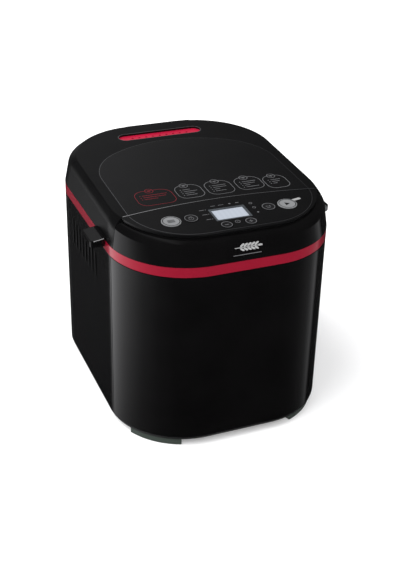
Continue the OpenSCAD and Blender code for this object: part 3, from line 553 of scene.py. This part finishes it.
def make_lid():
    low = BAND_TOP + LID_GAP
    on_top = lying_in(LID_UP)
    shell = lid_form(0, low)
    for depth, width in ((CROWN_DROP, 5.0), (0, 1.5)):
        rounded(shell, [e for e in shell.edges if lying_in(LID_UP, depth)(e)], width, 5)
    shell = carve(shell, carve(lid_form(WALL, low - 1), drum(-LID_GAP - WALL)))
    shell = carve(shell, block(-HALF_W, HALF_W, HINGE_Y, FAR, low - 1, REAR_EDGE))
    for x in (-HINGE_X, HINGE_X):
        pocket = block(x - POCKET_HALF_W, x + POCKET_HALF_W, HINGE_Y - 6, FAR, low - 1, POCKET_TOP)
        shell = carve(shell, pocket)
    inside = joined(
        *[block(x - ARM_HALF_W, x + ARM_HALF_W, HINGE_Y - 3, 180, HINGE_Z, FAR) for x in (-HINGE_X, HINGE_X)],
        *[moved(rod(4, 30), x, y, POST_Z) for x in (-POST_X, POST_X) for y in POST_Y])
    shell = carve(shell, carve(lid_form(0.2, low), inside, "INTERSECT"), "UNION")
    for x in (-HINGE_X, HINGE_X):
        barrel = along_x(rod(BARREL_R, 2 * ARM_HALF_W), x - ARM_HALF_W, HINGE_Y, HINGE_Z)
        shell = carve(shell, barrel, "UNION")
    shell = carve(shell, drum(-LID_GAP))
    shell = carve(shell, put(raised(slot_outline(), -10, 3), ON_LID))
    shell = carve(shell, put(raised(inlay_outline(), -0.8, 2), ON_LID))
    for x in (-HINGE_X, HINGE_X):
        shell = carve(shell, along_x(rod(PIN_BORE_R, 20), x - 10, HINGE_Y, HINGE_Z))
    soften(shell, 0.4, 2, 50, on_top)
    piece(shell, "lid_cover", "lid", FINISHES["satin_black"], "satin_black", "lid_shell", angle=32)

    inlay = carve(put(raised(inlay_outline(0.12), -0.78, 0), ON_LID), drum(-LID_GAP))
    soften(inlay, 0.3, 2, 50, on_top)
    piece(inlay, "lid_window_panel", "lid", FINISHES["inlay_black"], "inlay_black", "lid_inlay")


def make_tabs():
    """The two lifting tabs, each with a painted glint along its front edge, lighter on the left tab than on
    the right, and a painted lit front face on the right tab.
    """
    root, skin, out = HALF_W - WALL, HALF_W + 0.4, HALF_W + TAB_OUT
    front = TAB_REAR - TAB_LEN
    glint_r, glint_len, glint_tilt = 0.5, 12.0, 98.7
    for side, name in ((-1, "lid_tab_left"), (1, "lid_tab_right")):
        corners = [(root, BAND_TOP + LID_GAP), (skin, BAND_TOP + LID_GAP), (skin, TAB_LOW), (out, TAB_LOW),
                   (out, TAB_TOP), (root, BAND_TOP + 3.6), (root, BAND_TOP + LID_GAP)]
        section = drawn(*[(side * x, z) for x, z in corners])
        tab = put(raised(section, 0, TAB_LEN), Matrix.Rotation(math.radians(90), 4, "X"))
        moved(tab, y=TAB_REAR)
        upright = [e for e in tab.edges if all(abs(v.co.x) > out - 0.1 for v in e.verts)
                   and abs(e.verts[0].co.z - e.verts[1].co.z) > 4]
        rounded(tab, upright, 3.2, 5)
        soften(tab, 0.9, 3, 40, lambda e: min(abs(v.co.x) for v in e.verts) > HALF_W + 0.3)
        piece(tab, name, "lid", FINISHES["gloss_black"], "gloss_black")
        # painted glint: a thin light rod along the tab's top front edge in place of a highlight
        painted_glint = rod(glint_r, glint_len, 16)
        put(painted_glint, Matrix.Rotation(math.radians(side * glint_tilt), 4, "Y"))
        moved(soften(painted_glint, 0.3, 2), side * (HALF_W + 1.5), front + 0.25, TAB_TOP + 1.6)
        piece(painted_glint, name + "_edge", "lid", tab_painted_highlight if side < 0 else tab_painted_dim_highlight, "gloss_black")
    # painted highlight: a lit-looking grey face on the right tab's front
    face = block(HALF_W + 1.5, out - 2.5, front - 0.12, front + 0.1, TAB_LOW + 1.6, TAB_TOP - 1.2)
    piece(soften(face, 0.08, 1), "lid_tab_right_painted_lit_face", "lid", tab_painted_dim_highlight, "gloss_black")


def make_edges():
    """The fine lines round the lid's inner panel, the slot and the crease: painted highlights that stand in
    for the light their edges catch.
    """
    # the crease strip: a painted highlight, light grey on the left fading to dark on the right
    crease = carve(raised(top_outline(2.2), *FILM), drum(-LID_GAP - 0.9), "INTERSECT")
    crease = carve(crease, drum(-LID_GAP))
    piece(put(crease, ON_LID), "lid_crease_painted_highlight", "lid", crease_painted_highlight, "satin_black")
    # painted highlights: thin lighter lines round the lid's inner panel and the control panel, fading to the
    # right
    border = carve(raised(hollow(inlay_outline(-0.3), 0.7), *FILM), drum(-LID_GAP - 0.9))
    piece(put(border, ON_LID), "lid_border_painted_highlight", "lid", line_painted_highlight, "inlay_black")
    # painted highlight: a lighter rim round the slot
    rim = raised(hollow(slot_outline(0.9), 0.9), *FILM)
    piece(put(rim, ON_LID), "slot_rim_painted_highlight", "lid", edge_painted_highlight, "satin_black")
    ahead = raised(hollow(outline(110, -142, 0, 70), 0.7), *FILM)
    ahead = carve(ahead, block(-WIDE, WIDE, -FAR, CREASE_Y - 1, -5, 5), "INTERSECT")
    ahead = carve(put(ahead, ON_PANEL), drum(0.4), "INTERSECT")
    piece(ahead, "panel_border_painted_highlight", "housing", line_painted_highlight, "inlay_black")


make_lid()
make_tabs()
make_edges()


# ---- front fascia, walls and band ----

def fascia_form(inset, low, down):
    shoulder = moved(crown_outline(inset, FASCIA_CROWN_REAR), z=-SHOULDER_DROP - down)
    return lofted(moved(body_outline(inset), z=low), put(shoulder, ON_PANEL),
                  put(moved(top_outline(inset), z=-down), ON_PANEL))


def make_fascia():
    down = PANEL_T + JOINT
    form = fascia_form(0, BAND_TOP + 0.02, down)
    rounded(form, [e for e in form.edges if lying_in(PANEL_UP, SHOULDER_DROP + down)(e)], 3.4, 6)
    shell = carve(form, drum(0), "INTERSECT")
    shell = carve(shell, carve(fascia_form(WALL, BAND_TOP - 1, down + WALL), drum(WALL), "INTERSECT"))
    opening = carve(put(raised(top_outline(WALL + 0.6), -20, 20), ON_PANEL), drum(WALL), "INTERSECT")
    shell = carve(shell, opening)
    soften(shell, 0.35, 2, 55,
           lambda e: max(v.co.z for v in e.verts) < BAND_TOP + 1 or min(v.co.y for v in e.verts) > -90)
    piece(shell, "fascia_front", "housing", FINISHES["gloss_black"], "gloss_black", "front_fascia", angle=32)


def wall_ring(low, high):
    return carve(raised(body_outline(), low, high), raised(body_outline(WALL), low - 1, high + 1))


def make_walls():
    low, high = BASE_Z + 3.2, BAND_Z - JOINT
    vents, first_vent, vent_pitch, vent_half_w = 8, -25, 13, 3
    vent_low, vent_high = 169, 201
    front = carve(wall_ring(low, high), block(-WIDE, WIDE, SIDE_SEAM - JOINT, FAR, 0, FAR))
    piece(soften(front, 0.6, 3, 60), "front_shield", "housing", FINISHES["gloss_black"], "gloss_black",
          "front_panel")
    rear = carve(wall_ring(low, high), block(-WIDE, WIDE, -FAR, REAR_SEAM + JOINT, 0, FAR))
    rear = carve(rear, along_y(rod(8, 20), GLAND_X, HALF_D - 10, GLAND_Z))
    piece(soften(rear, 0.4, 2, 60), "rear_cover", "housing", FINISHES["shell_black"], "shell_black",
          "rear_shell")
    for side, name in ((-1, "left"), (1, "right")):
        between_seams = block(-WIDE, WIDE, SIDE_SEAM + JOINT, REAR_SEAM - JOINT, 0, FAR)
        cheek = carve(wall_ring(low, high), between_seams, "INTERSECT")
        cheek = carve(cheek, block(*sorted((-side * FAR, 0)), -FAR, FAR, 0, FAR))
        for i in range(vents):
            y = first_vent + vent_pitch * i
            slot = block(*sorted((side * 100, side * WIDE)), y - vent_half_w, y + vent_half_w,
                         vent_low, vent_high)
            cheek = carve(cheek, slot)
        piece(soften(cheek, 0.5, 2, 60), "side_cheek_" + name, "housing", FINISHES["shell_black"],
              "shell_black", "side_panel_" + name)
    piece(soften(wall_ring(BAND_Z, BAND_TOP), 0.4, 2, 60), "band_crimson", "housing", FINISHES["band_red"],
          "band_red", "red_band")


make_fascia()
make_walls()


# ---- control panel, display and buttons ----

BUTTONS = (("menu", -69, MAIN_ROW, 11, "silver"), ("weight", -46, MAIN_ROW, 8.2, "black"),
           ("minus", -14.2, LOW_ROW, 6.8, "black"), ("plus", 14.2, LOW_ROW, 6.8, "black"),
           ("crust", 46, MAIN_ROW, 8.2, "black"), ("start", 69, MAIN_ROW, 11, "silver"))


def on_panel(bm, x, v, z=0.0):
    """Places a shape by its distance in front of the crease."""
    return put(moved(bm, x, CREASE_Y + v, z), ON_PANEL)


def make_panel():
    button_gap, window_half_w, window_half_d = 0.3, 21.5, 13.5
    post_spots = ((-78, -17), (78, -17), (-50, -53), (50, -53))
    plate = carve(put(raised(top_outline(), -PANEL_T, 0), ON_PANEL), drum(0), "INTERSECT")
    for _, x, v, radius, _ in BUTTONS:
        plate = carve(plate, on_panel(rod(radius + button_gap, 20, 64), x, v, -10))
    window = block(-window_half_w, window_half_w, -window_half_d, window_half_d, -10, 10)
    plate = carve(plate, on_panel(window, 0, MAIN_ROW))
    soften(plate, 0.35, 3, 50, lying_in(PANEL_UP))
    posts = [on_panel(rod(3.2, 7.5, 32), x, v, -10.4) for x, v in post_spots]
    piece(joined(plate, *posts), "panel_face", "housing", FINISHES["inlay_black"], "inlay_black",
          "control_panel")


def make_display():
    top = -0.15                         # the bezel lies this far under the panel's face
    bezel = carve(raised(outline(21.3, -13.3, 13.3, 0.6, steps=4), -3.2, top),
                  raised(outline(18.6, -11.0, 10.4, 0.4, steps=4), -1.2, 1))
    rim = [e for e in bezel.edges
           if all(abs(v.co.z - top) < 0.01 and abs(v.co.x) < 19 and abs(v.co.y) < 11.2 for v in e.verts)]
    rounded(bezel, rim, 0.9, 1)
    piece(on_panel(bezel, 0, MAIN_ROW), "display_frame", "housing", bezel_grey, "display", "display_window")
    face = soften(raised(outline(18.5, -10.9, 10.3, 0.4, steps=4), -1.18, -0.9), 0.08, 1, 60)
    piece(on_panel(face, 0, MAIN_ROW), "display_face", "housing", FINISHES["display"], "display")


def cap(radius):
    """A dished push button with its collar and stem."""
    top, collar, stem, foot = 0.6, -4.4, 2, -8.6
    return turned((0, foot), (stem, foot), (stem, collar), (radius + 1.2, collar),
                  (radius + 1.2, collar + 1.2), (radius - 0.6, collar + 1.2), (radius, collar + 1.45),
                  (radius, top - 0.4),
                  (radius - 0.12, top - 0.12), (radius - 0.4, top), (radius * 0.84, top),
                  (radius * 0.8, top - 0.16), (radius * 0.5, top - 0.22), (0, top - 0.24))


def ring(radius, width, low, high):
    inner, outer = radius - width / 2, radius + width / 2
    return turned((inner, low), (outer, low), (outer, high), (inner, high), (inner, low))


def bar(x, y, length, width, turn=0.0):
    """A short flat stroke with round ends."""
    shape = outline(length / 2, -width / 2, width / 2, width * 0.45, steps=4)
    return put(shape, Matrix.Translation((x, y, 0)) @ Matrix.Rotation(math.radians(turn), 4, "Z"))


def disc(x, y, radius, steps=24):
    bm = bmesh.new()
    bmesh.ops.create_circle(bm, cap_ends=True, radius=radius, segments=steps)
    return moved(bm, x, y)


SYMBOLS = {
    "menu": lambda: [bar(0, 2.1, 8.5, 1.0), bar(0, 0, 8.5, 1.0), bar(0, -2.1, 8.5, 1.0)],
    "start": lambda: [drawn((-2.4, -3.2), (3.4, 0), (-2.4, 3.2), (-2.4, -3.2))],
    "weight": lambda: [hollow(disc(0, -0.6, 3.0), 0.6), bar(0, 3.1, 4.2, 0.7), bar(0.4, 0, 2.0, 0.6, 60)],
    "crust": lambda: [bar(-1.8, 1.2, 2.2, 1.2), bar(1.8, 1.2, 2.2, 1.2), bar(0, -1.8, 4.4, 1.0)],
    "minus": lambda: [bar(0, 0, 4.6, 0.9)],
    "plus": lambda: [bar(0, 0, 4.6, 0.9), bar(0, 0, 4.6, 0.9, 90)],
}


def make_buttons():
    for name, x, v, radius, tone in BUTTONS:
        silver = tone == "silver"
        slot = "button_silver" if silver else "button_black"
        piece(on_panel(cap(radius), x, v), "cap_" + name, name, FINISHES[slot], slot, "button_" + name)
        mark = FINISHES["button_black"] if silver else print_grey
        strip = ring(radius * 0.86, 0.9 if silver else 0.7, 0.5, 0.63)
        piece(on_panel(strip, x, v), "ring_" + name, name, mark, slot)
        strokes = [raised(shape, 0.3, 0.42) for shape in SYMBOLS[name]()]
        piece(on_panel(joined(*strokes), x, v), "symbol_" + name, name, mark, slot)


make_panel()
make_display()
make_buttons()


# ---- printed marks ----

def printed(shapes, name, body, finish, slot, matrix):
    films = [raised(shape, *FILM) for shape in shapes]
    piece(put(joined(*films), matrix), name, body, finish, slot)


def badge(x0, x1, y0, y1, circle_x, lines):
    """A loaf-shaped frame with a round sign and lines of plain strokes."""
    wide, high = x1 - x0, y1 - y0
    loaf = outline(wide / 2, -high / 2, high / 2, high * 0.3, high * 0.36, steps=10)
    shapes = [hollow(moved(loaf, (x0 + x1) / 2, (y0 + y1) / 2), 0.75)]
    sign_y = y1 - 1.5
    shapes.append(moved(hollow(disc(0, 0, 5.2), 0.7), circle_x, sign_y))
    shapes.append(bar(circle_x, sign_y, 4.4, 1.1, 25))
    shapes.append(bar(circle_x + 0.4, sign_y - 1.7, 2.6, 0.7, 25))
    left, row = x0 + 6.5, y1 - 11.5
    for share in lines:
        length = (wide - 15) * share
        shapes.append(disc(left, row, 0.75, 12))
        shapes.append(bar(left + 2.6 + length / 2, row, length, 1.0))
        row -= 4.5
    return shapes


def make_badges():
    first = badge(-88.5, -44, -67, -31, -68, (1.0, 0.92, 0.55))
    printed(first, "badge_basic", "lid", print_red, "inlay_black", ON_LID)
    rest = (badge(-40, -8.5, -63, -30, -26, (0.55, 1.0, 0.7, 0.8))
            + badge(-4, 28, -64, -30, 12, (1.0, 0.95, 0.4, 0.75))
            + badge(33, 65, -63, -31, 48, (1.0, 0.85, 0.4, 0.95))
            + badge(67, 95, -69, -36, 81, (0.95, 0.75, 0.4)))
    printed(rest, "badge_row", "lid", print_grey, "inlay_black", ON_LID)


def make_panel_marks():
    rows, over_display = (-94, -104, -115), -88.2
    clock_y = CREASE_Y + LOW_ROW + 3.5
    marks = [bar(-28.5, y, 6.0, 0.8) for y in rows] + [disc(-24.0, y, 0.6, 12) for y in rows]
    marks += [hollow(disc(30, y, 2.0), 0.6) for y in rows[:2]] + [disc(30, rows[2], 1.2, 16)]
    marks += [bar(x, over_display, length, 0.7) for x, length in ((-13, 5.5), (-3.5, 6.5))]
    marks += [disc(7, over_display, 1.3, 16), bar(16, over_display, 4.2, 1.2)]
    marks += [hollow(disc(0, clock_y, 3.0), 0.55), bar(0.6, clock_y + 0.7, 2.0, 0.5, 50),
              bar(-0.5, clock_y + 0.4, 1.2, 0.5, 100)]
    printed(marks, "panel_print", "housing", print_grey, "inlay_black", ON_PANEL)
    tail = drawn((78.0, -99.4), (87, -97.6), (87.3, -99.6, -180), (80.3, -103.0), (78.0, -99.4))
    printed([tail], "start_tail", "housing", print_silver, "button_silver", ON_PANEL)


def grain(x, y, turn):
    """One grain of a wheat ear."""
    bm = disc(0, 0, 1.0, 24)
    bmesh.ops.scale(bm, vec=(2.9, 1.15, 1), verts=bm.verts)
    return put(bm, Matrix.Translation((x, y, 0)) @ Matrix.Rotation(math.radians(turn), 4, "Z"))


def make_emblem():
    """A plain wheat ear on the front, over a thin rule."""
    shapes = [bar(-1.5, 0, 27, 0.8)]
    for i in range(5):
        x = -6.5 + 4.2 * i
        shapes += [grain(x, 2.4, 32), grain(x, -2.4, -32)]
    shapes.append(grain(14.4, 0, 0))
    low, high = Vector((0, -HALF_D, BAND_TOP + 0.6)), Vector((0, -154.82, 256.67))  # the fascia's front
    lean = math.atan2(high.z - low.z, high.y - low.y)
    spot = Matrix.Translation(low.lerp(high, 0.68)) @ Matrix.Rotation(lean, 4, "X")
    ear = joined(*[raised(shape, -0.1, 0.35) for shape in shapes])
    piece(put(soften(ear, 0.12, 2), spot), "emblem_wheat", "housing", print_silver, "gloss_black")
    rule = raised(bar(-0.5, -8.2, 33, 0.7), -0.1, 0.15)
    piece(put(rule, spot), "emblem_rule", "housing", print_grey, "gloss_black")


make_badges()
make_panel_marks()
make_emblem()


# ---- feet ----

def make_feet():
    """Short arcs that follow the body's corners."""
    span, inner, outer = 44, 20, 4      # degrees, and how far the arc's edges stand in from the corner
    for name, side, front in (("front_left", -1, True), ("front_right", 1, True), ("rear_left", -1, False),
                              ("rear_right", 1, False)):
        radius = FRONT_R if front else REAR_R
        centre_x = side * (HALF_W - radius)
        centre_y = -HALF_D + radius if front else HALF_D - radius
        start = 206 if front else 112
        if side > 0:
            start = 180 - start - span
        bm = bmesh.new()
        bmesh.ops.create_grid(bm, x_segments=1, y_segments=1, size=1)
        for v in bm.verts:
            v.co = (radius - inner if v.co.x < 0 else radius - outer, 0, 0 if v.co.y < 0 else BASE_Z)
        bmesh.ops.rotate(bm, cent=(0, 0, 0), matrix=Matrix.Rotation(math.radians(start), 3, "Z"),
                         verts=bm.verts)
        section = bm.faces[:]
        bmesh.ops.spin(bm, geom=section, cent=(0, 0, 0), axis=(0, 0, 1), dvec=(0, 0, 0),
                       angle=math.radians(span), steps=22, use_merge=False, use_duplicate=False)
        bmesh.ops.recalc_face_normals(bm, faces=bm.faces)
        soften(moved(bm, centre_x, centre_y), 0.9, 3, 50)
        piece(bm, "foot_pad_" + name, "housing", FINISHES["foot_grey"], "foot_grey", "foot_" + name)


make_feet()


# ---- pieces taken from the frame, with softer edges ----

def refined(node, name, body, width, steps=2, angle=40):
    """The same shape as a CAD node, with its sharp edges rounded."""
    bm = bmesh.new()
    bm.from_mesh(frame["nodes"][node].data)
    put(bm, Matrix.Scale(1 / MM, 4))
    bmesh.ops.remove_doubles(bm, verts=bm.verts, dist=0.002)
    bmesh.ops.dissolve_limit(bm, angle_limit=math.radians(1), use_dissolve_boundaries=False, verts=bm.verts,
                             edges=bm.edges, delimit=set())
    soften(bm, width, steps, angle)
    bmesh.ops.triangulate(bm, faces=[f for f in bm.faces if len(f.verts) > 4])
    piece(bm, name, body, FINISHES[SLOT[node]], SLOT[node], node, angle=30)


def make_inside():
    """What the open lid uncovers, with the base and the cord's gland."""
    for node, name, body, width in (
            ("deck", "deck_frame", "housing", 0.5), ("oven_chamber", "oven_lining", "housing", 0.3),
            ("bread_pan", "pan_body", "pan", 0.35), ("kneading_paddle", "paddle_blade", "paddle", 0.9),
            ("lid_liner", "liner_plate", "lid", 0.4), ("cord_gland", "gland_collar", "housing", 0.8),
            ("base_tray", "tray_floor", "housing", 0.4), ("steam_vent", "vent_grille", "lid", 0.25)):
        refined(node, name, body, width)


make_inside()


# ---- floor and light ----

def make_floor():
    bm = bmesh.new()
    bmesh.ops.create_grid(bm, x_segments=1, y_segments=1, size=9)
    floor = holder(bm, "floor")
    made, shader = new_finish("floor_white", (0.86, 0.86, 0.86), 0.8, specular=0.0)
    shader.inputs["Emission Color"].default_value = (1, 1, 1, 1)
    shader.inputs["Emission Strength"].default_value = 0.16
    floor.data.materials.append(made)
    floor.visible_glossy = False


def make_front_light():
    """A soft light over the camera, kept out of the gloss."""
    lamp = bpy.data.lights.new("front_fill", "AREA")
    lamp.shape, lamp.size, lamp.size_y, lamp.energy = "RECTANGLE", 1.6, 1.2, 34
    thing = bpy.data.objects.new("front_fill", lamp)
    bpy.context.collection.objects.link(thing)
    spot, aim = Vector((-0.5, -2.2, 1.9)), Vector((0, 0, 0.15))
    thing.visible_glossy = False
    thing.location = spot
    thing.rotation_euler = (aim - spot).to_track_quat("-Z", "Y").to_euler()


def make_sun():
    lamp = bpy.data.lights.new("overhead", "SUN")
    lamp.energy, lamp.angle = 3.0, math.radians(50)
    thing = bpy.data.objects.new("overhead", lamp)
    bpy.context.collection.objects.link(thing)
    thing.visible_glossy = False
    thing.rotation_euler = Vector((0.7, 0.0, -1)).to_track_quat("-Z", "Y").to_euler()


# Bright screens, by bearing in degrees and level. The walls mirror the low ones, and the top the high ones.
LOW_SCREENS = ((-180, 0.02), (-106, 0.02), (-99, 0.4), (-85, 0.16), (-60, 0.05), (-35, 0.012), (30, 0.012),
               (55, 0.08), (80, 0.26), (110, 0.7), (140, 1.15), (148, 1.3), (154, 0.03), (180, 0.02))
HIGH_SCREENS = ((-180, 0.14), (-170, 0.26), (-163, 0.19), (-157, 0.09), (-150, 0.04), (-90, 0.03), (0, 0.02),
                (60, 0.03), (120, 0.04), (165, 0.05), (180, 0.14))


def bearing(world, parts):
    """The direction that a ray comes from, round the machine, from 0 to 1."""
    nodes, links = world.node_tree.nodes, world.node_tree.links
    angle = nodes.new("ShaderNodeMath")
    angle.operation = "ARCTAN2"
    for axis, socket in zip("XY", angle.inputs):
        turned_round = nodes.new("ShaderNodeMath")
        turned_round.operation = "MULTIPLY"
        turned_round.inputs[1].default_value = -1
        links.new(parts.outputs[axis], turned_round.inputs[0])
        links.new(turned_round.outputs[0], socket)
    return between(world, angle.outputs[0], 0.0, 1.0, -math.pi, math.pi)


def screens(world, share, stops):
    ramp = world.node_tree.nodes.new("ShaderNodeValToRGB")
    elements = ramp.color_ramp.elements
    while len(elements) < len(stops):
        elements.new(0.5)
    for element, (degrees, level) in zip(elements, stops):
        element.position, element.color = (degrees + 180) / 360, (level / 2, level / 2, level * 0.51, 1)
    world.node_tree.links.new(share, ramp.inputs["Fac"])
    return ramp.outputs["Color"]


def either(world, share, first, second):
    """The first colour where share is 0, and the second where it is 1."""
    node = world.node_tree.nodes.new("ShaderNodeMix")
    node.data_type = "RGBA"
    world.node_tree.links.new(share, node.inputs[0])
    for socket, colour in ((node.inputs[6], first), (node.inputs[7], second)):
        if isinstance(colour, tuple):
            socket.default_value = (*colour, 1)
        else:
            world.node_tree.links.new(colour, socket)
    return node.outputs[2]


def make_studio():
    """Screens that only the gloss sees, an even fill for the rest, and a pale backdrop for the camera."""
    world = bpy.data.worlds.new("studio")
    bpy.context.scene.world = world
    world.use_nodes = True
    world.cycles.sampling_method = "NONE"
    nodes, links = world.node_tree.nodes, world.node_tree.links
    where = nodes.new("ShaderNodeTexCoord")
    parts = nodes.new("ShaderNodeSeparateXYZ")
    links.new(where.outputs["Generated"], parts.inputs["Vector"])
    share = bearing(world, parts)
    height = parts.outputs["Z"]
    lower = nodes.new("ShaderNodeVectorMath")
    lower.operation = "SCALE"
    links.new(screens(world, share, LOW_SCREENS), lower.inputs[0])
    links.new(between(world, height, 0.2, 1.0, -0.62, -0.48), lower.inputs["Scale"])
    rise = between(world, height, 0.0, 1.0, -0.22, -0.1)
    room = either(world, rise, lower.outputs["Vector"], screens(world, share, HIGH_SCREENS))
    path = nodes.new("ShaderNodeLightPath")
    filled = either(world, path.outputs["Is Diffuse Ray"], room, (0.36, 0.36, 0.365))
    seen = either(world, path.outputs["Is Camera Ray"], filled, (0.5, 0.5, 0.5))
    links.new(seen, nodes["Background"].inputs["Color"])
    nodes["Background"].inputs["Strength"].default_value = 2.0


make_floor()
make_sun()
make_front_light()
make_studio()
bpy.context.scene.view_settings.view_transform = "Standard"
